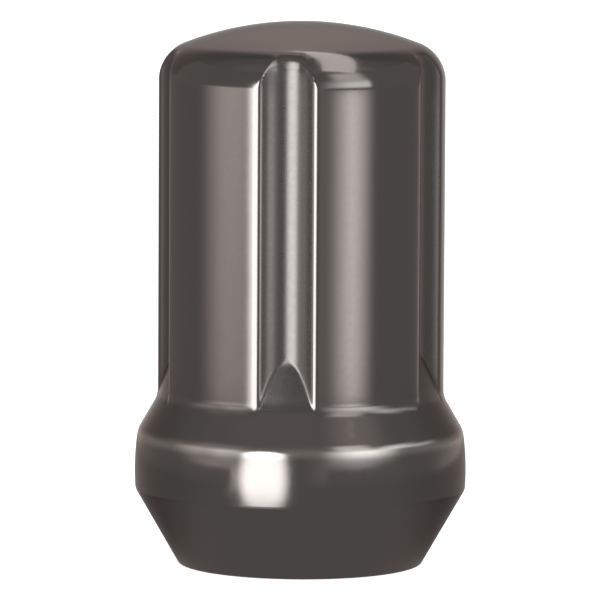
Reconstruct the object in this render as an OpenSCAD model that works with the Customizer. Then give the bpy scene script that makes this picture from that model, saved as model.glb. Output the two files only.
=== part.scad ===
// Closed-end spline-drive lug nut with a 60 degree conical seat.
// Sizes in millimetres. The nut stands on its base face, +Z up its axis.

/* [Body] */
// Diameter of the cylindrical body that the key slides over
body_d = 20; // [18:0.5:22]
// Height from the base face to the top of the dome
overall_h = 38; // [34:0.5:46]
// Radius of the rounded shoulder between body and dome
shoulder_r = 2.8; // [1.8:0.1:3.2]
// Radius of the sphere the dome is part of
dome_r = 22.8; // [18:0.2:30]

/* [Flange] */
// Largest diameter of the crowned band above the seat
flange_d = 23.2; // [22.6:0.05:24.5]
// Height of the band's widest line above the base face
band_z = 6.6; // [6.2:0.1:7]
// Radius of the band's slight crown, seen in section
band_crown_r = 18; // [12:1:40]
// Height where the flare would meet the body with no fillet
flare_z = 11.8; // [10.8:0.1:13]
// Angle between the flare and the axis
flare_angle = 30; // [28:1:34]
// Radius of the hollow fillet between flare and body
flare_fillet_r = 1.8; // [1:0.1:2]
// Radius of the knee between flare and band
knee_r = 1.8; // [1:0.1:2]

/* [Seat] */
// Diameter of the flat base face, its rounded edge included
base_d = 17; // [16.4:0.1:17.4]
// Angle between the conical seat and the axis
seat_angle = 30; // [29:0.5:31]
// Radius of the edge between seat and band
seat_edge_r = 0.8; // [0.4:0.1:1]
// Radius of the edge between seat and base face
base_edge_r = 0.3; // [0.2:0.05:0.5]

/* [Drive grooves] */
// Number of drive grooves round the body
groove_count = 5; // [4:1:6]
// Azimuth of the first groove, from +X towards +Y
groove_azimuth = 264; // [0:1:359]
// Width of a groove where its lips leave the body's surface
groove_width = 4.55; // [4.4:0.05:4.8]
// Depth of a groove below the body's surface
groove_depth = 1; // [0.95:0.05:1.15]
// Radius of a groove's hollow floor
groove_floor_r = 2.5; // [2.3:0.05:2.7]
// Radius of the rounded lips, which the floor cuts off on both sides
groove_lip_r = 1.2; // [1.1:0.05:1.4]
// Angle between the ramp by which a groove runs out on the flare and the axis
runout_angle = 17; // [14:1:24]
// Radius of the sweep from a groove's floor to its ramp
runout_r = 1.8; // [1:0.1:3]

/* [Thread bore] */
// Diameter of the bore the thread is cut in, its crests: 10.376 for M12x1.5
thread_minor_d = 10.376; // [8.3:0.002:10.7]
// Outer diameter of the thread: 12 for M12x1.5
thread_major_d = 12; // [10:0.5:12]
// Depth of the bore's straight wall, from the base face
bore_depth = 28; // [24:0.5:29]
// Full angle of the drill point at the blind end
drill_angle = 118; // [90:1:130]
// How much wider than the thread the mouth's countersink is
mouth_clearance = 0.6; // [0.2:0.1:1]
// Full angle of the countersink at the mouth
mouth_angle = 90; // [60:5:120]

/* [Hidden] */
$fn = 128;
body_r = body_d / 2;
flange_r = flange_d / 2;
base_r = base_d / 2;
bore_r = thread_minor_d / 2;
mouth_r = (thread_major_d + mouth_clearance) / 2;
mouth_h = (mouth_r - bore_r) / tan(mouth_angle / 2);
drill_h = bore_r / tan(drill_angle / 2);
// How far a tool or a filler passes the face it ends at
over = 1;
// How far an arc laps over the line or arc it runs into, so that the two cross
lap = 0.001;
// Step that keeps the run-out sweep from lying flat on the groove's floor or the flare
sweep_step = 0.05;
sweep_lift = 0.01;
groove_pitch = 360 / groove_count;

// Dome and shoulder: the shoulder's arc touches the body and the dome
shoulder_c_r = body_r - shoulder_r;
dome_tilt = asin(shoulder_c_r / (dome_r - shoulder_r));
dome_c = [0, overall_h - dome_r];
shoulder_c = [shoulder_c_r, dome_c[1] + (dome_r - shoulder_r) * cos(dome_tilt)];
dome_joint = dome_c + dome_r * [sin(dome_tilt), cos(dome_tilt)];
shoulder_joint = shoulder_c + [shoulder_r, 0];

// Band: its crown is an arc round this point
crown_c = [flange_r - band_crown_r, band_z];

// Flare: unit vectors down its slope and into the metal
flare_dir = [sin(flare_angle), -cos(flare_angle)];
flare_in = [-cos(flare_angle), -sin(flare_angle)];
flare_top = [body_r, flare_z];
fillet_len = flare_fillet_r * tan(flare_angle / 2);
fillet_c = [body_r + flare_fillet_r, flare_z + fillet_len];
fillet_joint = flare_top + fillet_len * flare_dir;

// Seat: unit vectors up its slope and into the metal
seat_dir = [sin(seat_angle), cos(seat_angle)];
seat_in = [-cos(seat_angle), sin(seat_angle)];
base_len = base_edge_r * tan((90 - seat_angle) / 2);
seat_foot = [base_r, 0];
base_edge_c = [base_r - base_len, base_edge_r];
base_joint = seat_foot + base_len * seat_dir;

// Centre of an arc that touches a slope and the inside of the band's crown
function blend_c(p, dir, inward, r) =
    let (q = p + r * inward - crown_c, b = q * dir)
    crown_c + q + (sqrt(b * b - q * q + pow(band_crown_r - r, 2)) - b) * dir;
// Point where such an arc leaves the crown
function crown_joint(c) = crown_c + band_crown_r * (c - crown_c) / norm(c - crown_c);

knee_c = blend_c(flare_top, flare_dir, flare_in, knee_r);
knee_joint = knee_c - knee_r * flare_in;
knee_crown = crown_joint(knee_c);
seat_edge_c = blend_c(seat_foot, seat_dir, seat_in, seat_edge_r);
seat_joint = seat_edge_c - seat_edge_r * seat_in;
seat_crown = crown_joint(seat_edge_c);

// Groove section, drawn with the groove's middle on +X
floor_c = [body_r - groove_depth + groove_floor_r, 0];
lip_angle = asin(groove_width / body_d);
lip_c = (body_r - groove_lip_r) * [cos(lip_angle), sin(lip_angle)];
lip_joint = body_r * [cos(lip_angle), sin(lip_angle)];
// Beyond the lip the tool opens at this angle to the body's surface, over this length
mouth_lean = 25;
tool_reach = 3;
tool_out = lip_joint + tool_reach * [
    cos(lip_angle + 90 - mouth_lean), sin(lip_angle + 90 - mouth_lean)];

// Run-out: a ramp from the top of the flare, and a sweep to a wall just under the groove's floor
ramp_dir = [sin(runout_angle), -cos(runout_angle)];
sweep_r = body_r - groove_depth - sweep_step;
sweep_top = flare_top - (groove_depth + sweep_step) / sin(runout_angle) * ramp_dir;
sweep_len = runout_r * tan(runout_angle / 2);
sweep_c = [sweep_r + runout_r, sweep_top[1] + sweep_len];
sweep_joint = sweep_top + sweep_len * ramp_dir;

// Mirror of a point across the groove's middle
function twin(p) = [p[0], -p[1]];

// Disc that rounds a corner and laps over both its sides
module round_end(c, r) {
    translate(c)
        circle(r = r + lap);
}

// Half section of the nut before grooves and bore are cut
module blank_section() {
    polygon([
        [0, 0], [base_edge_c[0], 0], base_joint, seat_joint, seat_crown, knee_crown, knee_joint,
        fillet_joint, flare_top, shoulder_joint, dome_joint, [0, dome_joint[1]]
    ]);
    round_end(base_edge_c, base_edge_r);
    round_end(seat_edge_c, seat_edge_r);
    round_end(knee_c, knee_r);
    round_end(shoulder_c, shoulder_r);
    band_segment();
    dome_segment();
    fillet_section();
}

// Crown of the band outside the straight line between its ends, in half section
module band_segment() {
    intersection() {
        translate(crown_c)
            circle(r = band_crown_r);
        polygon([seat_crown, seat_crown + [over, 0], knee_crown + [over, 0], knee_crown]);
    }
}

// Part of the dome's sphere above the shoulder, in half section
module dome_segment() {
    intersection() {
        translate(dome_c)
            circle(r = dome_r);
        polygon([[0, shoulder_c[1]], shoulder_c, dome_joint + dome_joint - dome_c, [0, overall_h + over]]);
    }
}

// Hollow fillet between flare and body, in half section
module fillet_section() {
    difference() {
        polygon([
            flare_top - [over, over], fillet_joint, fillet_c, [body_r, fillet_c[1]]
        ]);
        round_end(fillet_c, flare_fillet_r);
    }
}

// Outline of one groove, open outwards: a hollow floor and the rounded lips that it cuts off
module groove_section() {
    translate(floor_c)
        circle(r = groove_floor_r);
    difference() {
        polygon([
            floor_c, lip_c, lip_joint, tool_out, twin(tool_out), twin(lip_joint), twin(lip_c)
        ]);
        round_end(lip_c, groove_lip_r);
        round_end(twin(lip_c), groove_lip_r);
    }
}

// Metal that the grooves leave standing: the flare, and the ramp that sweeps up from it
module runout_core() {
    low = flare_top + (tool_reach + over) / sin(flare_angle) * flare_dir;
    translate([0, 0, sweep_lift])
        rotate_extrude()
            difference() {
                polygon([
                    [0, low[1] - over], [low[0], low[1] - over], low, flare_top, sweep_joint, sweep_c,
                    [sweep_r, sweep_c[1]], [0, sweep_c[1]]
                ]);
                round_end(sweep_c, runout_r);
            }
}

// All drive grooves as tools
module grooves() {
    foot = flare_z - tool_reach / tan(flare_angle);
    difference() {
        for (i = [0 : groove_count - 1])
            rotate([0, 0, groove_azimuth + i * groove_pitch])
                translate([0, 0, foot])
                    linear_extrude(height = overall_h + over - foot)
                        groove_section();
        runout_core();
    }
}

// Blind bore at the thread's crests, with countersunk mouth and drill point
module bore() {
    rotate_extrude()
        polygon([
            [0, -over], [mouth_r + over * tan(mouth_angle / 2), -over], [bore_r, mouth_h],
            [bore_r, bore_depth], [0, bore_depth + drill_h]
        ]);
}

module lug_nut() {
    color("#3c3836")
        difference() {
            rotate_extrude()
                blank_section();
            grooves();
            bore();
        }
}

lug_nut();
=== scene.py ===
"""Looks of a closed-end spline-drive lug nut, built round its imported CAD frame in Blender 4.5."""
import logging
import math
from collections.abc import Callable, Iterator
from contextlib import contextmanager
from dataclasses import dataclass, field
from enum import Enum, IntEnum, auto

import bmesh
import bpy
import numpy as np
from mathutils import Euler, Matrix, Vector


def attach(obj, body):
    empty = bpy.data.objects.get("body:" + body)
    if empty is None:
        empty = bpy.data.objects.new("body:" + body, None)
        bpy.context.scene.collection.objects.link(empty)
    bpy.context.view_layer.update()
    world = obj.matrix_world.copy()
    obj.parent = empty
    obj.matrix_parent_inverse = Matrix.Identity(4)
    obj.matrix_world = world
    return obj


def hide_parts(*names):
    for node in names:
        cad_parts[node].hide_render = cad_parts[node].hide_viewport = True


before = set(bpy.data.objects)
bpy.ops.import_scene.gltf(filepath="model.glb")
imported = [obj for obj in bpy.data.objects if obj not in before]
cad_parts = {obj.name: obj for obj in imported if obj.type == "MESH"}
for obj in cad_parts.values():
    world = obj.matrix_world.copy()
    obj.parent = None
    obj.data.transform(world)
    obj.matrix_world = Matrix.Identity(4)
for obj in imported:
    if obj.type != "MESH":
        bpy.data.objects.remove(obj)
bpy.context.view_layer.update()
LOG = logging.getLogger("lug_nut")

MM = 0.001
# Radius and height of a point of the half section
Point = tuple[float, float]
# Ends of a range, middle and reach of a light, or X and Y of a place
Pair = tuple[float, float]

# Most of Blender's noise texture lies between these
NOISE_SPAN: Pair = (0.3, 0.7)
# Length of one band of Blender's wave texture at a scale of 1
WAVE_BAND = 0.314


class Zone(IntEnum):
    """Material slots of the nut's mesh."""

    PLATED = 0
    THREAD = 1


def linear(code: str) -> tuple[float, float, float, float]:
    """Turns an sRGB hex colour into linear RGBA.

    Args:
        code: Six hex digits, with or without a leading hash sign.

    Returns:
        Red, green, blue and an alpha of 1, as a shader socket takes them.
    """
    digits = code.lstrip("#")
    parts = [int(digits[i:i + 2], 16) / 255 for i in (0, 2, 4)]
    red, green, blue = (c / 12.92 if c <= 0.04045 else ((c + 0.055) / 1.055) ** 2.4 for c in parts)
    return red, green, blue, 1.0


def add_node(
    tree: bpy.types.NodeTree,
    kind: str,
    settings: dict[str, object] | None = None,
    **links: object,
) -> bpy.types.Node:
    """Adds a shader node, sets it up and wires its inputs.

    Args:
        tree: Node tree that gets the node.
        kind: Blender's identifier of the node type.
        settings: Properties of the node itself.
        **links: Inputs by name, with _ for a space, or in0, in1 by place: a socket or a value.

    Returns:
        The new node.
    """
    node = tree.nodes.new(kind)
    for name, value in (settings or {}).items():
        setattr(node, name, value)
    for name, value in links.items():
        key: object = int(name[2:]) if name[:2] == "in" and name[2:].isdigit() else name.replace("_", " ")
        socket = node.inputs[key]
        if isinstance(value, bpy.types.NodeSocket):
            tree.links.new(value, socket)
        else:
            socket.default_value = value
    return node


def new_material(name: str) -> bpy.types.Material:
    """Adds a material with an empty node tree."""
    material = bpy.data.materials.new(name)
    material.use_nodes = True
    material.node_tree.nodes.clear()
    return material


def bearing(tree: bpy.types.NodeTree, axes: bpy.types.Node) -> bpy.types.NodeSocket:
    """Adds the nodes that turn a place into its azimuth, in degrees from the front to the right.

    Args:
        tree: Node tree that gets the nodes.
        axes: Node that splits the place into X, Y and Z.

    Returns:
        The socket that holds the azimuth.
    """
    front = add_node(tree, "ShaderNodeMath", {"operation": "MULTIPLY"}, in0=axes.outputs["Y"], in1=-1.0)
    turn = add_node(
        tree, "ShaderNodeMath", {"operation": "ARCTAN2"}, in0=axes.outputs["X"], in1=front.outputs[0])
    return add_node(tree, "ShaderNodeMath", {"operation": "DEGREES"}, in0=turn.outputs[0]).outputs[0]


def select_only(*objects: bpy.types.Object) -> None:
    """Selects some objects and nothing else, and makes the last of them the active one."""
    bpy.ops.object.select_all(action="DESELECT")
    for obj in objects:
        obj.select_set(True)
    bpy.context.view_layer.objects.active = objects[-1]


@contextmanager
def editing(obj: bpy.types.Object) -> Iterator[None]:
    """Puts one object alone in edit mode and takes it out again.

    Args:
        obj: Mesh object to edit.

    Yields:
        Nothing; the object is in edit mode meanwhile.
    """
    select_only(obj)
    bpy.ops.object.mode_set(mode="EDIT")
    try:
        yield
    finally:
        bpy.ops.object.mode_set(mode="OBJECT")


def select_edges(obj: bpy.types.Object, test: Callable[[bmesh.types.BMEdge], bool]) -> None:
    """Selects the edges that pass a test, and nothing else.

    Args:
        obj: Mesh object in edit mode.
        test: Says of an edge whether it is wanted.
    """
    bpy.ops.mesh.select_mode(type="EDGE")
    bpy.ops.mesh.select_all(action="DESELECT")
    mesh = bmesh.from_edit_mesh(obj.data)
    for edge in mesh.edges:
        if test(edge):
            edge.select_set(True)
    bmesh.update_edit_mesh(obj.data)


def draw_profile(name: str, rows: list[Point]) -> bpy.types.Object:
    """Melts a plane down to the first point of a profile and extrudes that along the others.

    Args:
        name: Name of the new object.
        rows: Radius and height of the profile's points, in millimetres.

    Returns:
        An object whose edges are the profile, on the +X side of the axis.
    """
    bpy.ops.object.select_all(action="DESELECT")
    bpy.ops.mesh.primitive_plane_add(size=MM, location=(0, 0, 0))
    obj = bpy.context.object
    obj.name = name
    obj.data.name = name
    with editing(obj):
        bpy.ops.mesh.select_mode(type="VERT")
        bpy.ops.mesh.select_all(action="SELECT")
        bpy.ops.mesh.merge(type="CENTER")
        bpy.ops.transform.translate(value=(rows[0][0] * MM, 0, rows[0][1] * MM))
        for last, this in zip(rows, rows[1:]):
            step = ((this[0] - last[0]) * MM, 0, (this[1] - last[1]) * MM)
            bpy.ops.mesh.extrude_vertices_move(TRANSFORM_OT_translate={"value": step})
    return obj


def read_points(mesh: bpy.types.Mesh) -> np.ndarray:
    """Gives a mesh's vertices in millimetres, one row each."""
    points = np.empty(len(mesh.vertices) * 3)
    mesh.vertices.foreach_get("co", points)
    return points.reshape(-1, 3) / MM


def write_points(mesh: bpy.types.Mesh, points: np.ndarray) -> None:
    """Moves a mesh's vertices to new places in millimetres, one row each."""
    mesh.vertices.foreach_set("co", (points * MM).ravel())
    mesh.update()


def soft_min(one: np.ndarray, other: np.ndarray, soft: float | np.ndarray) -> np.ndarray:
    """Gives the smaller of two values, rounded off where they differ by about soft or less."""
    return 0.5 * (one + other - np.sqrt((one - other) ** 2 + soft**2))


def arc(centre: Point, radius: float, start: float, stop: float, steps: int) -> list[Point]:
    """Points along an arc of the nut's half section.

    Args:
        centre: Radius and height of the arc's centre, in millimetres.
        radius: Radius of the arc, in millimetres.
        start: Angle of the first point, in degrees from outwards to upwards.
        stop: Angle of the last point.
        steps: Number of stretches the arc is cut into.

    Returns:
        The arc's points from start to stop, both ends included.
    """
    angles = [math.radians(start + (stop - start) * i / steps) for i in range(steps + 1)]
    return [(centre[0] + radius * math.cos(a), centre[1] + radius * math.sin(a)) for a in angles]


def between(start: Point, stop: Point, steps: int) -> list[Point]:
    """Points inside a straight stretch of the half section, both ends left out."""
    shares = [i / steps for i in range(1, steps)]
    return [(start[0] + (stop[0] - start[0]) * s, start[1] + (stop[1] - start[1]) * s) for s in shares]


@dataclass(frozen=True)
class SectionRows:
    """How finely the stretches of the half section are cut, from the base upwards."""

    base_edge: int = 5
    seat: int = 5
    seat_edge: int = 7
    band: int = 8
    knee: int = 10
    flare: int = 4
    fillet: int = 10
    # Height of a row beside the grooves' ramps, and how far these rows pass them, in millimetres
    ramp_row: float = 0.13
    ramp_over: float = 0.3
    body: int = 7
    # Rows lie closest on the shoulder up to this angle, where the grooves have ended
    groove_end: float = 54.0
    groove_rows: int = 33
    shoulder: int = 6
    dome: int = 9


@dataclass(frozen=True)
class NutSizes:
    """Sizes of the nut in millimetres and degrees: those of the CAD source, and the thread's turns."""

    body_r: float = 10.0
    overall_h: float = 38.0
    shoulder_r: float = 2.8
    dome_r: float = 22.8
    flange_r: float = 11.6
    band_z: float = 6.6
    band_crown_r: float = 18.0
    flare_z: float = 11.8
    slope: float = 30.0
    flare_fillet_r: float = 1.8
    knee_r: float = 1.8
    base_r: float = 8.5
    seat_edge_r: float = 0.8
    base_edge_r: float = 0.3
    groove_count: int = 5
    groove_azimuth: float = 264.0
    groove_width: float = 4.55
    groove_depth: float = 1.0
    groove_floor_r: float = 2.5
    groove_lip_r: float = 1.2
    runout_angle: float = 17.0
    runout_r: float = 1.8
    bore_r: float = 5.188
    thread_major_r: float = 6.0
    thread_pitch: float = 1.5
    thread_end: float = 26.0
    bore_depth: float = 28.0
    drill_angle: float = 118.0
    mouth_r: float = 6.3

    @property
    def drill_h(self) -> float:
        """Height of the drill point at the bore's blind end."""
        return self.bore_r / math.tan(math.radians(self.drill_angle / 2))

    @property
    def mouth_h(self) -> float:
        """Height of the countersink up to the thread's outer radius; its wall leans 45 degrees."""
        return self.mouth_r - self.thread_major_r

    def blend_centre(self, foot: Point, along: Point, inward: Point, radius: float) -> Point:
        """Centre of an arc that touches a slope and the inside of the band's crown.

        Args:
            foot: A point on the slope.
            along: Unit vector along the slope towards the band.
            inward: Unit vector from the slope into the metal.
            radius: Radius of the arc.

        Returns:
            Radius and height of the arc's centre.
        """
        centre = np.array([self.flange_r - self.band_crown_r, self.band_z])
        start = np.array(foot) + radius * np.array(inward) - centre
        run = float(start @ np.array(along))
        reach = math.sqrt(run * run - float(start @ start) + (self.band_crown_r - radius) ** 2) - run
        found = centre + start + reach * np.array(along)
        return float(found[0]), float(found[1])

    def knee(self) -> Point:
        """Radius and height of the centre of the knee between flare and band."""
        lean = math.radians(self.slope)
        along = (math.sin(lean), -math.cos(lean))
        inward = (-math.cos(lean), -math.sin(lean))
        return self.blend_centre((self.body_r, self.flare_z), along, inward, self.knee_r)

    def section(self, cuts: SectionRows) -> list[Point]:
        """Half section from the base's flat up to the top of the dome.

        Args:
            cuts: How finely each stretch is cut.

        Returns:
            Radius and height of each row of the lathe's profile.
        """
        lean = math.radians(self.slope)
        sine, cosine = math.sin(lean), math.cos(lean)
        crown = (self.flange_r - self.band_crown_r, self.band_z)
        base_len = self.base_edge_r * math.tan(math.radians(45 - self.slope / 2))
        edge = (self.base_r - base_len, self.base_edge_r)
        seat = self.blend_centre((self.base_r, 0), (sine, cosine), (-cosine, sine), self.seat_edge_r)
        knee = self.knee()
        low = math.degrees(math.atan2(seat[1] - crown[1], seat[0] - crown[0]))
        high = math.degrees(math.atan2(knee[1] - crown[1], knee[0] - crown[0]))
        hollow = (
            self.body_r + self.flare_fillet_r,
            self.flare_z + self.flare_fillet_r * math.tan(lean / 2),
        )
        tilt = math.asin((self.body_r - self.shoulder_r) / (self.dome_r - self.shoulder_r))
        top = (0.0, self.overall_h - self.dome_r)
        shoulder = (
            self.body_r - self.shoulder_r,
            top[1] + (self.dome_r - self.shoulder_r) * math.cos(tilt),
        )
        shoulder_end = 90 - math.degrees(tilt)
        rows = arc(edge, self.base_edge_r, -90, -self.slope, cuts.base_edge)
        seat_arc = arc(seat, self.seat_edge_r, -self.slope, low, cuts.seat_edge)
        rows += between(rows[-1], seat_arc[0], cuts.seat) + seat_arc
        rows += arc(crown, self.band_crown_r, low, high, cuts.band)[1:]
        rows += arc(knee, self.knee_r, high, self.slope, cuts.knee)[1:]
        fillet = arc(hollow, self.flare_fillet_r, 180 + self.slope, 180, cuts.fillet)
        rows += between(rows[-1], fillet[0], cuts.flare) + fillet
        ramp_top = self.sweep()[1] + cuts.ramp_over
        steps = math.ceil((ramp_top - hollow[1]) / cuts.ramp_row)
        rows += between(rows[-1], (self.body_r, ramp_top), steps)
        rows += [(self.body_r, ramp_top)]
        rows += between(rows[-1], (self.body_r, shoulder[1]), cuts.body)
        rows += arc(shoulder, self.shoulder_r, 0, cuts.groove_end, cuts.groove_rows)
        rows += arc(shoulder, self.shoulder_r, cuts.groove_end, shoulder_end, cuts.shoulder)[1:]
        rows += arc(top, self.dome_r, shoulder_end, 90, cuts.dome)[1:]
        return rows

    def sweep(self) -> Point:
        """Radius and height of the centre of the sweep from a groove's floor to its ramp."""
        lean = math.radians(self.runout_angle)
        wall = self.body_r - self.groove_depth
        height = self.flare_z + self.groove_depth / math.tan(lean)
        return wall + self.runout_r, height + self.runout_r * math.tan(lean / 2)

    def core_r(self, height: np.ndarray) -> np.ndarray:
        """Radius of the metal that a groove leaves standing at each height.

        Args:
            height: Heights in millimetres.

        Returns:
            The flare, then the ramp and its sweep, and 0 above the sweep.
        """
        lean = math.radians(self.runout_angle)
        centre_r, centre_z = self.sweep()
        joint = centre_z - self.runout_r * math.sin(lean)
        flare = self.body_r + (self.flare_z - height) * math.tan(math.radians(self.slope))
        ramp = self.body_r + (self.flare_z - height) * math.tan(lean)
        drop = np.clip((centre_z - height) / self.runout_r, -1, 1)
        swept = centre_r - self.runout_r * np.sqrt(1 - drop * drop)
        below = [height < self.flare_z, height < joint, height < centre_z]
        return np.select(below, [flare, ramp, swept], 0.0)

    def groove(self, turn: np.ndarray, soft: float) -> np.ndarray:
        """Depth of the drive grooves below the body's surface.

        Args:
            turn: Angles from the middle of the nearest groove, in radians.
            soft: Softness of the edges between floor and lips, in millimetres.

        Returns:
            Depth at each angle, 0 on the lands between the grooves.
        """
        away = np.abs(turn)
        edge = math.asin(self.groove_width / (2 * self.body_r))
        clear = self.body_r + self.groove_depth
        rims = []
        # Arcs of floor and lip: centre, turn, radius, near or far side, and how much of it counts
        for centre, angle, radius, side, least in (
            (self.body_r - self.groove_depth + self.groove_floor_r, 0.0, self.groove_floor_r, -1, 0.0),
            (self.body_r - self.groove_lip_r, edge, self.groove_lip_r, 1, 0.5),
        ):
            inside = radius**2 - (centre * np.sin(away - angle)) ** 2
            crossing = centre * np.cos(away - angle) + side * np.sqrt(np.clip(inside, 0, None))
            rims.append(np.where(inside > least * radius**2, crossing, clear))
        pressed = soft_min(rims[0], rims[1], soft)
        return np.where(away < edge, np.clip(self.body_r - pressed, 0, None), 0.0)


@dataclass(frozen=True)
class BlackChrome:
    """Black chrome plated over polished forged steel.

    A dark warm mirror: it shows its surroundings at about a seventh of their strength, with soft
    edges where the forging under the plating is not quite flat.
    """

    name: str = "black_chrome_on_forged_steel"
    tint: str = "#726967"
    # Seen edge on, the plating keeps its warm tint
    edge_tint: str = "#fff0ee"
    # Along the knee the tint is lighter, a painted highlight that stands in for a bright reflected line
    painted_highlight_tint: str = "#998e8b"
    roughness: float = 0.13
    # Forged skin under the plating: shallow waves, their length and how strongly they show
    wave_mm: float = 2.5
    wave_height_mm: float = 0.2
    wave_strength: float = 0.02
    # Fine haze of the plating: width of its spots, and what they make of the roughness
    haze_mm: float = 0.35
    haze_span: Pair = (0.9, 1.12)
    # Plating reaches badly into the drive grooves: it is duller there by this much, and its tint is
    # darker there as painted shade, each from one share of a groove's depth to another
    recess_haze: float = 0.15
    groove_shade_tint: str = "#665e5c"
    haze_depths: Pair = (0.04, 0.3)
    shade_depths: Pair = (0.15, 0.4)

    def make(self) -> bpy.types.Material:
        """Builds the material.

        Returns:
            The finished material.
        """
        material = new_material(self.name)
        tree = material.node_tree
        place = add_node(tree, "ShaderNodeTexCoord")
        haze = add_node(
            tree, "ShaderNodeTexNoise", Vector=place.outputs["Object"],
            Scale=1 / (self.haze_mm * MM), Detail=1.0)
        spots = add_node(
            tree, "ShaderNodeMapRange", Value=haze.outputs["Fac"],
            From_Min=NOISE_SPAN[0], From_Max=NOISE_SPAN[1],
            To_Min=self.roughness * self.haze_span[0], To_Max=self.roughness * self.haze_span[1])
        recess = add_node(tree, "ShaderNodeAttribute", {"attribute_name": "recess"})
        dull = add_node(
            tree, "ShaderNodeMapRange", {"interpolation_type": "SMOOTHSTEP"}, Value=recess.outputs["Fac"],
            From_Min=self.haze_depths[0], From_Max=self.haze_depths[1], To_Max=self.recess_haze)
        rough = add_node(
            tree, "ShaderNodeMath", {"operation": "ADD"},
            in0=spots.outputs["Result"], in1=dull.outputs["Result"])
        waves = add_node(
            tree, "ShaderNodeTexNoise", Vector=place.outputs["Object"],
            Scale=1 / (self.wave_mm * MM), Detail=1.0)
        bump = add_node(
            tree, "ShaderNodeBump", Height=waves.outputs["Fac"],
            Strength=self.wave_strength, Distance=self.wave_height_mm * MM)
        # Painted highlight: a lighter tint along the knee
        painted_knee_highlight = add_node(tree, "ShaderNodeAttribute", {"attribute_name": "painted_knee_highlight"})
        bright = add_node(
            tree, "ShaderNodeMapRange", {"interpolation_type": "SMOOTHSTEP"}, Value=painted_knee_highlight.outputs["Fac"])
        outside = add_node(
            tree, "ShaderNodeMix", {"data_type": "RGBA"}, in0=bright.outputs["Result"],
            in6=linear(self.tint), in7=linear(self.painted_highlight_tint))
        # Painted shade: a darker tint deep in the grooves
        deep = add_node(
            tree, "ShaderNodeMapRange", {"interpolation_type": "SMOOTHSTEP"}, Value=recess.outputs["Fac"],
            From_Min=self.shade_depths[0], From_Max=self.shade_depths[1])
        colour = add_node(
            tree, "ShaderNodeMix", {"data_type": "RGBA"}, in0=deep.outputs["Result"],
            in6=outside.outputs[2], in7=linear(self.groove_shade_tint))
        metal = add_node(
            tree, "ShaderNodeBsdfPrincipled", Base_Color=colour.outputs[2], Metallic=1.0,
            Specular_Tint=linear(self.edge_tint), Roughness=rough.outputs["Value"],
            Normal=bump.outputs["Normal"])
        add_node(tree, "ShaderNodeOutputMaterial", Surface=metal.outputs["BSDF"])
        return material


@dataclass(frozen=True)
class CutSteel:
    """Tapped steel inside the bore, thinly plated.

    Greyer and duller than the outside, with fine rings left by the tap.
    """

    name: str = "tapped_steel_thread"
    tint: str = "#908785"
    roughness: float = 0.34
    # Rings of the tap's cutting edges, drawn 0.09 mm apart so that they show: how far apart, how
    # high and how strong they are, and what they make of the roughness
    ring_mm: float = 0.09
    ring_height_mm: float = 0.01
    ring_strength: float = 0.15
    ring_span: Pair = (0.85, 1.2)

    def make(self) -> bpy.types.Material:
        """Builds the material.

        Returns:
            The finished material.
        """
        material = new_material(self.name)
        tree = material.node_tree
        place = add_node(tree, "ShaderNodeTexCoord")
        rings = add_node(
            tree, "ShaderNodeTexWave", {"bands_direction": "Z"}, Vector=place.outputs["Object"],
            Scale=WAVE_BAND / (self.ring_mm * MM), Distortion=1.5, Detail=2.0)
        rough = add_node(
            tree, "ShaderNodeMapRange", Value=rings.outputs["Fac"],
            To_Min=self.roughness * self.ring_span[0], To_Max=self.roughness * self.ring_span[1])
        bump = add_node(
            tree, "ShaderNodeBump", Height=rings.outputs["Fac"],
            Strength=self.ring_strength, Distance=self.ring_height_mm * MM)
        metal = add_node(
            tree, "ShaderNodeBsdfPrincipled", Base_Color=linear(self.tint), Metallic=1.0,
            Roughness=rough.outputs["Result"], Normal=bump.outputs["Normal"])
        add_node(tree, "ShaderNodeOutputMaterial", Surface=metal.outputs["BSDF"])
        return material


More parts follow.
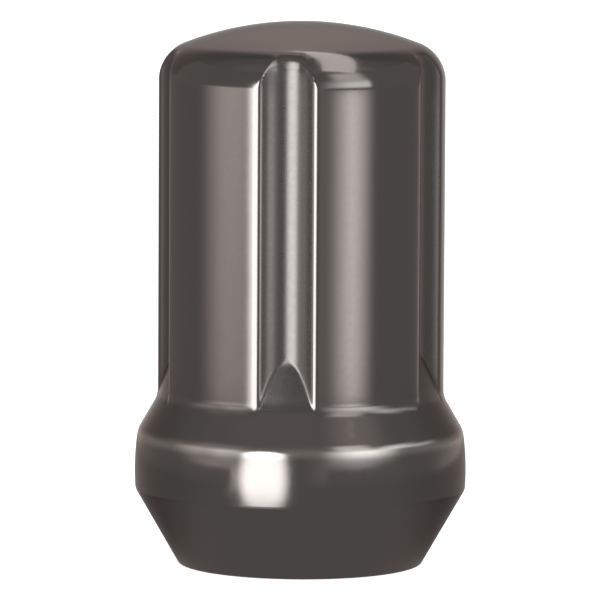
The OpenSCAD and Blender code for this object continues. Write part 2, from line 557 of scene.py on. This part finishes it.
@dataclass
class LugNut:
    """The whole nut: a turned blank with drive grooves, and a tapped blind bore."""

    sizes: NutSizes = field(default_factory=NutSizes)
    rows: SectionRows = field(default_factory=SectionRows)
    columns: int = 560
    thread_columns: int = 96
    rows_per_turn: int = 10
    # How strongly columns crowd towards the grooves
    crowding: float = 0.5
    # Flats of the thread at its outer and inner diameter, as shares of the pitch
    outer_flat: float = 0.125
    inner_flat: float = 0.25
    # Points closer than this are one point, on the wall and in the bore, in millimetres
    wall_seam: float = 0.0004
    bore_seam: float = 0.001
    # Softness of the edge between a groove's floor and its lips, in millimetres
    crease_soft: float = 0.06
    # Softness of the edge along a groove's ramp, and the depth over which it comes in, the depth
    # over which it goes out at the floor and the height over which it goes out at the top
    ramp_soft: float = 0.1
    ramp_in: float = 0.4
    ramp_out: float = 0.3
    ramp_fade: float = 2.0
    # Softness of the edge at a groove's top, the depth from which it grows, the length over which it
    # does, and the share of it that shallow places have
    edge_soft: float = 0.3
    edge_from: float = 0.45
    edge_in: float = 0.4
    edge_least: float = 0.15
    # How much of a groove's haze the hollow above the flare has
    hollow_recess: float = 0.13
    # Where on the knee's arc the painted highlight is strongest, in degrees, and how far up and down it
    # reaches, in millimetres
    highlight_turn: float = 11.0
    highlight_width: float = 0.6
    # Edges that turn by more than this are shaded sharp, in degrees
    sharp: float = 32.0

    def build(self) -> bpy.types.Object:
        """Models the nut and dresses it.

        Returns:
            The finished object, in place in the row frame.
        """
        wall = self.turn_blank()
        self.press_grooves(wall)
        bore = self.tap_bore()
        nut = self.close(wall, bore)
        self.dress(nut)
        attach(nut, "root")
        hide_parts("lug_nut")
        return nut

    def turn_blank(self) -> bpy.types.Object:
        """Spins the half section into the outside of the nut, open at the base.

        Returns:
            The object of the outer wall.
        """
        wall = draw_profile("lug_nut_visual", self.sizes.section(self.rows))
        with editing(wall):
            bpy.ops.mesh.select_all(action="SELECT")
            bpy.ops.mesh.spin(
                steps=self.columns, angle=2 * math.pi, center=(0, 0, 0), axis=(0, 0, 1))
            bpy.ops.mesh.select_all(action="SELECT")
            bpy.ops.mesh.remove_doubles(threshold=self.wall_seam * MM)
        return wall

    def press_grooves(self, wall: bpy.types.Object) -> None:
        """Moves the outer wall's vertices inwards where the drive grooves are.

        Args:
            wall: Object of the outer wall.
        """
        size = self.sizes
        mesh = wall.data
        points = read_points(mesh)
        blank = np.hypot(points[:, 0], points[:, 1])
        height = points[:, 2]
        pitch = 2 * math.pi / size.groove_count
        first = math.radians(size.groove_azimuth)
        turn = np.arctan2(points[:, 1], points[:, 0]) - first
        index = np.round(turn / pitch)
        turn -= index * pitch
        turn -= self.crowding * pitch / (2 * math.pi) * np.sin(turn * 2 * math.pi / pitch)
        radius = self.pressed_r(blank, height, size.groove(turn, self.crease_soft))
        angle = first + index * pitch + turn
        write_points(mesh, np.stack([radius * np.cos(angle), radius * np.sin(angle), height], axis=1))
        hollow = 1 - np.abs(height - size.flare_z) / (size.flare_fillet_r / 2)
        recess = np.maximum((blank - radius) / size.groove_depth, self.hollow_recess * hollow)
        # Mask of the painted highlight along the knee
        knee_z = size.knee()[1] + size.knee_r * math.sin(math.radians(self.highlight_turn))
        painted_knee_highlight = 1 - np.abs(height - knee_z) / self.highlight_width
        for name, values in (("recess", recess), ("painted_knee_highlight", painted_knee_highlight)):
            layer = mesh.attributes.new(name, "FLOAT", "POINT")
            layer.data.foreach_set("value", np.clip(values, 0, 1))

    def pressed_r(self, blank: np.ndarray, height: np.ndarray, depth: np.ndarray) -> np.ndarray:
        """Radius of the outer wall with the drive grooves in it.

        Args:
            blank: Radius of the turned blank at each point, in millimetres.
            height: Height of each point.
            depth: Depth of the grooves below the body's surface at each point's angle.

        Returns:
            The radius that each point moves to.
        """
        size = self.sizes
        ramp = self.ramp_soft * np.clip(depth / self.ramp_in, 0, 1)
        ramp *= np.clip((size.groove_depth - depth) / self.ramp_out, 0, 1)
        ramp *= np.clip((size.sweep()[1] - height) / self.ramp_fade, 0, 1)
        # The larger of groove and run-out
        low = np.minimum(blank, -soft_min(depth - blank, -size.core_r(height), ramp))
        edge = self.edge_soft * np.clip((depth - self.edge_from) / self.edge_in, self.edge_least, 1)
        edge *= np.clip((size.body_r - blank) / self.edge_in, 0, 1)
        high = soft_min(size.body_r - depth, blank, edge)
        radius = np.where(height > size.overall_h / 2, high, low)
        return np.where(depth > 0, np.maximum(radius, 0), blank)

    def thread_section(self) -> list[Point]:
        """Bore wall with the thread's V along it, from a turn below the mouth to the blind end.

        Returns:
            Radius and height of each row; crests are at the bore's radius.
        """
        size = self.sizes
        step = size.thread_pitch / self.rows_per_turn
        count = math.ceil((size.bore_depth + 2 * size.thread_pitch) / step)
        run = (1 - self.outer_flat - self.inner_flat) / 2
        rows = []
        for i in range(count + 1):
            share = (i / self.rows_per_turn) % 1.0
            flank = min(max((abs(share - 0.5) - self.outer_flat / 2) / run, 0.0), 1.0)
            radius = size.thread_major_r - flank * (size.thread_major_r - size.bore_r)
            rows.append((radius, i * step - size.thread_pitch))
        return rows

    def tap_bore(self) -> bpy.types.Object:
        """Screws the thread section round the axis and closes it with mouth and drill point.

        Returns:
            The object of the bore's wall, open at the mouth.
        """
        size = self.sizes
        bore = draw_profile("bore_visual", self.thread_section())
        screw = bore.modifiers.new("thread", "SCREW")
        screw.axis = "Z"
        screw.angle = 2 * math.pi
        screw.screw_offset = size.thread_pitch * MM
        screw.steps = screw.render_steps = self.thread_columns
        screw.use_normal_calculate = False
        bpy.ops.object.modifier_apply(modifier=screw.name)
        self.trim_thread(bore)
        with editing(bore):
            bpy.ops.mesh.select_all(action="SELECT")
            bpy.ops.mesh.remove_doubles(threshold=self.bore_seam * MM)
            bpy.ops.mesh.select_all(action="SELECT")
            bpy.ops.mesh.dissolve_degenerate(threshold=self.bore_seam * MM)
            middle = size.bore_depth / 2 * MM
            select_edges(bore, lambda edge: edge.is_boundary and edge.verts[0].co.z > middle)
            bpy.ops.mesh.extrude_region_move(TRANSFORM_OT_translate={"value": (0, 0, size.drill_h * MM)})
            bpy.ops.mesh.merge(type="CENTER")
            select_edges(bore, lambda edge: edge.is_boundary and edge.verts[0].co.z < middle)
            bpy.ops.mesh.extrude_region_move(TRANSFORM_OT_translate={"value": (0, 0, -size.mouth_h * MM)})
            grow = size.mouth_r / size.thread_major_r
            bpy.ops.transform.resize(value=(grow, grow, 1), center_override=(0, 0, 0))
        return bore

    def trim_thread(self, bore: bpy.types.Object) -> None:
        """Ends the thread at the countersink below and runs it out above.

        Args:
            bore: Object of the screwed bore wall.
        """
        size = self.sizes
        points = read_points(bore.data)
        radius = np.hypot(points[:, 0], points[:, 1])
        angle = np.arctan2(points[:, 1], points[:, 0])
        height = np.clip(points[:, 2], size.mouth_h, size.bore_depth)
        fade = np.clip((size.thread_end + size.thread_pitch - height) / size.thread_pitch, 0, 1)
        radius = size.bore_r + (radius - size.bore_r) * fade
        radius = np.maximum(radius, size.mouth_r - height)
        points = np.stack([radius * np.cos(angle), radius * np.sin(angle), height], axis=1)
        write_points(bore.data, points)

    def close(self, wall: bpy.types.Object, bore: bpy.types.Object) -> bpy.types.Object:
        """Joins wall and bore and bridges them with the flat base face.

        Args:
            wall: Object of the outer wall.
            bore: Object of the bore's wall.

        Returns:
            The closed nut.
        """
        select_only(bore, wall)
        bpy.ops.object.join()
        with editing(wall):
            select_edges(wall, lambda edge: edge.is_boundary)
            bpy.ops.mesh.bridge_edge_loops()
            bpy.ops.mesh.select_mode(type="FACE")
            bpy.ops.mesh.select_all(action="SELECT")
            bpy.ops.mesh.normals_make_consistent(inside=False)
        return wall

    def dress(self, nut: bpy.types.Object) -> None:
        """Gives outside and bore their materials and smooth shading.

        Args:
            nut: The closed nut.
        """
        nut.data.materials.append(BlackChrome().make())
        nut.data.materials.append(CutSteel().make())
        reach = self.sizes.mouth_r * MM
        tip = (self.sizes.bore_depth + self.sizes.drill_h) * MM
        for face in nut.data.polygons:
            inside = math.hypot(face.center.x, face.center.y) < reach and face.center.z < tip
            face.material_index = Zone.THREAD if inside else Zone.PLATED
        select_only(nut)
        bpy.ops.object.shade_smooth_by_angle(angle=math.radians(self.sharp))


class Gauge(Enum):
    """What a light's edge is measured by, seen from the nut."""

    # Degrees from the front, positive to the right
    AZIMUTH = auto()
    # Degrees from the front, either way
    AWAY = auto()
    # Degrees above the horizon
    ELEVATION = auto()
    # Distance from the key light's middle, about 1 at its rounded rim
    KEY = auto()


class Tint(Enum):
    """Colours of the studio's lights."""

    PLAIN = "#ffffff"
    COOL = "#f2ffff"
    PALE = "#f9ffff"
    TABLE = "#f9fff9"


@dataclass(frozen=True)
class Edge:
    """Soft edge of a light: none of the light at start, all of it at stop."""

    gauge: Gauge
    start: float
    stop: float


@dataclass(frozen=True)
class Glow:
    """A soft light in the studio, or a dusky place where its strength is negative."""

    strength: float
    edges: tuple[Edge, ...]
    tint: Tint = Tint.PLAIN

    @classmethod
    def box(
        cls,
        azimuth: tuple[float, float, float],
        elevation: tuple[float, float, float, float],
        strength: float,
        tint: Tint = Tint.PLAIN,
    ) -> "Glow":
        """A softbox between two azimuths and two elevations.

        Args:
            azimuth: Left and right edge and the half width of their fade, in degrees.
            elevation: Low edge, half its fade, high edge and half its fade, in degrees.
            strength: Brightness in the middle.
            tint: Colour of the light.

        Returns:
            The softbox as a glow with four edges.
        """
        left, right, soft = azimuth
        low, low_soft, high, high_soft = elevation
        return cls(strength, (
            Edge(Gauge.AZIMUTH, left - soft, left + soft),
            Edge(Gauge.AZIMUTH, right + soft, right - soft),
            Edge(Gauge.ELEVATION, low - low_soft, low + low_soft),
            Edge(Gauge.ELEVATION, high + high_soft, high - high_soft),
        ), tint)


@dataclass(frozen=True)
class Card:
    """A curved card round the nut: radius, lower and upper edge in metres, and azimuths it spans."""

    radius: float
    heights: Pair
    spans: tuple[Pair, ...]


@dataclass
class Studio:
    """White studio: camera, floor and the soft lights round the nut."""

    ambient: float = 0.4
    # Middle and reach of the key light, left of the camera, in degrees
    key_azimuth: Pair = (-25.6, 19.0)
    key_elevation: Pair = (-2.5, 23.5)
    glows: tuple[Glow, ...] = (
        # Key light, weaker towards the table, and the pale table under it
        Glow(6.8, (Edge(Gauge.KEY, 1.1, 0.3), Edge(Gauge.ELEVATION, -26, -6)), Tint.COOL),
        Glow.box((-44, -14, 8), (-36, 14, -14, 4), 0.8),
        # Side light further left, the rail above it that runs on to the left, and the wall
        Glow.box((-77, -40, 15), (-8, 4, 1.5, 1.5), 1.32),
        Glow.box((-64, -42, 8), (3, 2, 18, 7), 0.95, Tint.COOL),
        Glow.box((-92, -62, 14), (2, 2, 16, 7), 0.6),
        Glow.box((-84, -44, 10), (8, 5, 38, 8), 0.2),
        # Side light on the right, the rail above it that runs on to the right, and the wall
        Glow.box((31, 51, 12), (-10, 5, 1.5, 1.5), 2.85, Tint.PALE),
        Glow.box((27, 64, 16), (4, 2.5, 20, 7), 2.9, Tint.COOL),
        Glow.box((62, 88, 12), (16, 5, 29, 5), 1.8, Tint.COOL),
        Glow.box((88, 110, 8), (14, 4, 21, 3), 0.9, Tint.COOL),
        Glow.box((27, 54, 6), (22, 6, 42, 5), 1.6, Tint.PALE),
        Glow.box((28, 74, 14), (38, 6, 62, 12), 0.3),
        # Low light behind on the right, for the groove at that side
        Glow.box((112, 150, 14), (-14, 8, -1, 4), 0.35),
        # Ceiling
        Glow.box((-75, 20, 15), (44, 5, 60, 8), 0.1),
        # Fill towards the camera
        Glow.box((8, 30, 8), (-12, 3, 6, 3), 0.18),
        # Dusky wall at the sides, pale table behind, and a backdrop that is brighter with height
        Glow(-0.12, (Edge(Gauge.AWAY, 95, 130), Edge(Gauge.ELEVATION, 4, 14)), Tint.TABLE),
        Glow(0.12, (Edge(Gauge.AWAY, 140, 165), Edge(Gauge.ELEVATION, 6, 0))),
        Glow(0.56, (Edge(Gauge.AWAY, 145, 178), Edge(Gauge.ELEVATION, 4, 50))),
    )
    # Overhead softbox: height, then X and Y of its corners, in metres
    panel_z: float = 0.12
    panel_plan: tuple[Pair, ...] = ((0.025, -0.07), (0.078, -0.07), (0.003, 0.066), (-0.006, 0.066))
    panel_strength: float = 2.5
    # Grey cards: high ones that keep the rails out of the shoulder, and low ones that keep the side
    # lights out of the band
    cards: tuple[Card, ...] = (
        Card(0.025, (0.0346, 0.052), ((-104, -32), (46, 104))),
        Card(0.025, (0.0331, 0.0345), ((14, 56),)),
        Card(0.04, (0.0042, 0.0083), ((-76, -42),)),
        Card(0.04, (0.0042, 0.0087), ((16, 70),)),
    )
    card_strength: float = 0.42
    card_columns: int = 180
    # Floor of white paper, and how far below the nut's base it lies, in metres
    floor_size: float = 6.0
    floor_gap: float = 0.00002
    paper: str = "#f4f4f4"
    paper_glow: float = 0.85
    # Round the nut its own shade keeps the table grey, out to between these radii, except under the
    # key light, whose part of the table ends between these shares of its reach
    shade: Pair = (0.088, 0.118)
    key_sector: Pair = (0.9, 1.2)
    # At the sides and behind, from one azimuth to another, the table is darker still by this much at
    # the nut's foot, and by the last share of it further out
    shade_depth: float = 0.24
    shade_sides: Pair = (45.0, 100.0)
    foot: Pair = (0.017, 0.03)
    foot_rest: float = 0.35
    # Camera: distance and height of what it looks at in metres, angles in degrees, lens in millimetres
    distance: float = 0.453
    aim: float = 0.019
    pitch: float = 6.0
    roll: float = 0.3
    lens: float = 391.0
    shift: Pair = (-0.00193, -0.01208)

    def build(self) -> None:
        """Sets up world, overhead softbox, cards, floor and camera."""
        self.light()
        self.hang_panel()
        for card in self.cards:
            self.set_card(card)
        self.lay_floor()
        self.place_camera()

    def measure(self, tree: bpy.types.NodeTree) -> dict[Gauge, bpy.types.NodeSocket]:
        """Adds the nodes that measure a direction from the nut.

        Args:
            tree: Node tree of the world.

        Returns:
            The socket that holds each measure.
        """
        place = add_node(tree, "ShaderNodeTexCoord")
        axes = add_node(tree, "ShaderNodeSeparateXYZ", Vector=place.outputs["Generated"])
        azimuth = bearing(tree, axes)
        away = add_node(tree, "ShaderNodeMath", {"operation": "ABSOLUTE"}, in0=azimuth)
        rise = add_node(tree, "ShaderNodeMath", {"operation": "ARCSINE"}, in0=axes.outputs["Z"])
        climb = add_node(tree, "ShaderNodeMath", {"operation": "DEGREES"}, in0=rise.outputs[0])
        elevation = climb.outputs[0]
        rim: object = 0.0
        for angle, (middle, reach) in ((azimuth, self.key_azimuth), (elevation, self.key_elevation)):
            share = add_node(
                tree, "ShaderNodeMapRange", {"clamp": False}, Value=angle,
                From_Min=middle, From_Max=middle + reach).outputs["Result"]
            rim = add_node(
                tree, "ShaderNodeMath", {"operation": "MULTIPLY_ADD"},
                in0=share, in1=share, in2=rim).outputs[0]
        return {
            Gauge.AZIMUTH: azimuth,
            Gauge.AWAY: away.outputs[0],
            Gauge.ELEVATION: elevation,
            Gauge.KEY: rim,
        }

    def light(self) -> None:
        """Paints the studio's lights on the world, white to the camera."""
        world = bpy.data.worlds.new("studio")
        bpy.context.scene.world = world
        world.use_nodes = True
        tree = world.node_tree
        tree.nodes.clear()
        gauges = self.measure(tree)
        totals: dict[Tint, object] = {Tint.TABLE: self.ambient}
        for glow in self.glows:
            share: object = glow.strength
            for edge in glow.edges:
                fade = add_node(
                    tree, "ShaderNodeMapRange", {"interpolation_type": "SMOOTHSTEP"},
                    Value=gauges[edge.gauge], From_Min=edge.start, From_Max=edge.stop)
                share = add_node(
                    tree, "ShaderNodeMath", {"operation": "MULTIPLY"},
                    in0=fade.outputs["Result"], in1=share).outputs[0]
            total = add_node(
                tree, "ShaderNodeMath", {"operation": "ADD"}, in0=share, in1=totals.get(glow.tint, 0.0))
            totals[glow.tint] = total.outputs[0]
        studio: bpy.types.NodeSocket | None = None
        for tint, strength in totals.items():
            lit = add_node(
                tree, "ShaderNodeBackground", Color=linear(tint.value), Strength=strength).outputs[0]
            studio = lit if studio is None else add_node(
                tree, "ShaderNodeAddShader", in0=studio, in1=lit).outputs[0]
        blank = add_node(tree, "ShaderNodeBackground", Color=linear(Tint.PLAIN.value), Strength=1.0)
        path = add_node(tree, "ShaderNodeLightPath")
        mixed = add_node(
            tree, "ShaderNodeMixShader", in0=path.outputs["Is Camera Ray"],
            in1=studio, in2=blank.outputs["Background"])
        add_node(tree, "ShaderNodeOutputWorld", Surface=mixed.outputs["Shader"])

    def hang_panel(self) -> None:
        """Hangs the overhead softbox, which only mirrors show."""
        bpy.ops.object.select_all(action="DESELECT")
        bpy.ops.mesh.primitive_plane_add(size=1, location=(0, 0, 0))
        panel = bpy.context.object
        panel.name = "overhead_softbox"
        for index, corner in zip(panel.data.polygons[0].vertices, self.panel_plan):
            panel.data.vertices[index].co = (*corner, self.panel_z)
        cloth = self.mirrored_only("overhead_softbox_cloth", self.panel_strength, Tint.PALE)
        panel.data.materials.append(cloth)

    def set_card(self, card: Card) -> None:
        """Sets a curved grey card round the nut, which only mirrors show.

        Args:
            card: Place of the card.
        """
        low, high = card.heights
        bpy.ops.object.select_all(action="DESELECT")
        bpy.ops.mesh.primitive_cylinder_add(
            vertices=self.card_columns, radius=card.radius, depth=high - low,
            end_fill_type="NOTHING", location=(0, 0, 0))
        ring = bpy.context.object
        ring.name = "grey_card"
        with editing(ring):
            bpy.ops.mesh.select_mode(type="FACE")
            bpy.ops.mesh.select_all(action="SELECT")
            bpy.ops.transform.translate(value=(0, 0, (low + high) / 2))
            bpy.ops.mesh.select_all(action="DESELECT")
            mesh = bmesh.from_edit_mesh(ring.data)
            for face in mesh.faces:
                middle = face.calc_center_median()
                azimuth = math.degrees(math.atan2(middle.x, -middle.y))
                face.select_set(not any(left < azimuth < right for left, right in card.spans))
            bmesh.update_edit_mesh(ring.data)
            bpy.ops.mesh.delete(type="FACE")
        ring.data.materials.append(self.mirrored_only("grey_card", self.card_strength, Tint.TABLE))

    def mirrored_only(self, name: str, strength: float, tint: Tint) -> bpy.types.Material:
        """Builds a plain glow that only mirrors show.

        Args:
            name: Name of the material.
            strength: Brightness of the glow.
            tint: Colour of the glow.

        Returns:
            The finished material.
        """
        material = new_material(name)
        tree = material.node_tree
        cloth = add_node(tree, "ShaderNodeEmission", Color=linear(tint.value), Strength=strength)
        unseen = add_node(tree, "ShaderNodeBsdfTransparent")
        path = add_node(tree, "ShaderNodeLightPath")
        mixed = add_node(
            tree, "ShaderNodeMixShader", in0=path.outputs["Is Glossy Ray"],
            in1=unseen.outputs["BSDF"], in2=cloth.outputs["Emission"])
        add_node(tree, "ShaderNodeOutputMaterial", Surface=mixed.outputs["Shader"])
        return material

    def lay_floor(self) -> None:
        """Lays the pale floor that the nut stands on."""
        bpy.ops.object.select_all(action="DESELECT")
        bpy.ops.mesh.primitive_plane_add(size=self.floor_size, location=(0, 0, -self.floor_gap))
        floor = bpy.context.object
        floor.name = "floor"
        floor.data.materials.append(self.floor_paper())

    def floor_paper(self) -> bpy.types.Material:
        """Builds the floor's white paper, which mirrors show as a table grey round the nut.

        Returns:
            The finished material.
        """
        material = new_material("white_studio_floor")
        tree = material.node_tree
        paper = add_node(tree, "ShaderNodeBsdfDiffuse", Color=linear(self.paper))
        glow = add_node(
            tree, "ShaderNodeEmission", Color=linear(Tint.PLAIN.value), Strength=self.paper_glow)
        white = add_node(
            tree, "ShaderNodeAddShader", in0=paper.outputs["BSDF"], in1=glow.outputs["Emission"])
        unseen = add_node(tree, "ShaderNodeBsdfTransparent")
        # From below the floor is not seen, so that the nut's underside can be looked at
        facing = add_node(tree, "ShaderNodeNewGeometry")
        above = add_node(
            tree, "ShaderNodeMixShader", in0=facing.outputs["Backfacing"],
            in1=white.outputs["Shader"], in2=unseen.outputs["BSDF"])
        clear, dusk = self.table_shade(tree)
        grey = add_node(tree, "ShaderNodeEmission", Color=linear(Tint.TABLE.value), Strength=dusk)
        mirrored = add_node(
            tree, "ShaderNodeMixShader", in0=clear,
            in1=grey.outputs["Emission"], in2=unseen.outputs["BSDF"])
        path = add_node(tree, "ShaderNodeLightPath")
        mixed = add_node(
            tree, "ShaderNodeMixShader", in0=path.outputs["Is Glossy Ray"],
            in1=above.outputs["Shader"], in2=mirrored.outputs["Shader"])
        add_node(tree, "ShaderNodeOutputMaterial", Surface=mixed.outputs["Shader"])
        return material

    def table_shade(self, tree: bpy.types.NodeTree) -> tuple[bpy.types.NodeSocket, bpy.types.NodeSocket]:
        """Adds the nodes for the shade that the nut itself lays on the table.

        Args:
            tree: Node tree of the floor's material.

        Returns:
            The socket that is 1 where the table is out of the shade, and that of the grey's strength.
        """
        smooth = {"interpolation_type": "SMOOTHSTEP"}
        place = add_node(tree, "ShaderNodeTexCoord")
        far = add_node(tree, "ShaderNodeVectorMath", {"operation": "LENGTH"}, in0=place.outputs["Object"])
        beyond = add_node(
            tree, "ShaderNodeMapRange", smooth, Value=far.outputs["Value"],
            From_Min=self.shade[0], From_Max=self.shade[1])
        axes = add_node(tree, "ShaderNodeSeparateXYZ", Vector=place.outputs["Object"])
        azimuth = bearing(tree, axes)
        aside = add_node(
            tree, "ShaderNodeMapRange", {"clamp": False}, Value=azimuth,
            From_Min=self.key_azimuth[0], From_Max=sum(self.key_azimuth))
        either = add_node(tree, "ShaderNodeMath", {"operation": "ABSOLUTE"}, in0=aside.outputs["Result"])
        lit = add_node(
            tree, "ShaderNodeMapRange", smooth, Value=either.outputs[0],
            From_Min=self.key_sector[0], From_Max=self.key_sector[1], To_Min=1.0, To_Max=0.0)
        clear = add_node(
            tree, "ShaderNodeMath", {"operation": "MAXIMUM"},
            in0=beyond.outputs["Result"], in1=lit.outputs["Result"])
        away = add_node(tree, "ShaderNodeMath", {"operation": "ABSOLUTE"}, in0=azimuth)
        sides = add_node(
            tree, "ShaderNodeMapRange", smooth, Value=away.outputs[0],
            From_Min=self.shade_sides[0], From_Max=self.shade_sides[1], To_Max=self.shade_depth)
        under = add_node(
            tree, "ShaderNodeMapRange", smooth, Value=far.outputs["Value"],
            From_Min=self.foot[0], From_Max=self.foot[1], To_Min=-1.0, To_Max=-self.foot_rest)
        dusk = add_node(
            tree, "ShaderNodeMath", {"operation": "MULTIPLY_ADD"},
            in0=sides.outputs["Result"], in1=under.outputs["Result"], in2=self.ambient)
        return clear.outputs[0], dusk.outputs[0]

    def place_camera(self) -> None:
        """Places the camera at the angle the nut was photographed from."""
        data = bpy.data.cameras.new("camera")
        data.lens = self.lens
        data.sensor_width = 36.0
        data.shift_x, data.shift_y = self.shift
        data.clip_start = 0.01
        data.clip_end = 20.0
        camera = bpy.data.objects.new("camera", data)
        bpy.context.scene.collection.objects.link(camera)
        look = Euler((math.radians(90 - self.pitch), 0, 0)).to_matrix()
        turn = look @ Matrix.Rotation(math.radians(self.roll), 3, "Z")
        height = self.aim + self.distance * math.tan(math.radians(self.pitch))
        camera.matrix_world = Matrix.Translation(Vector((0, -self.distance, height))) @ turn.to_4x4()
        bpy.context.scene.camera = camera


def main() -> None:
    """Builds the nut and the studio round it."""
    logging.basicConfig(level=logging.INFO, format="%(name)s: %(message)s")
    Studio().build()
    nut = LugNut().build()
    LOG.info("%s: %d faces", nut.name, len(nut.data.polygons))
    bpy.context.scene.view_settings.view_transform = "Standard"


if __name__ == "__main__":
    main()
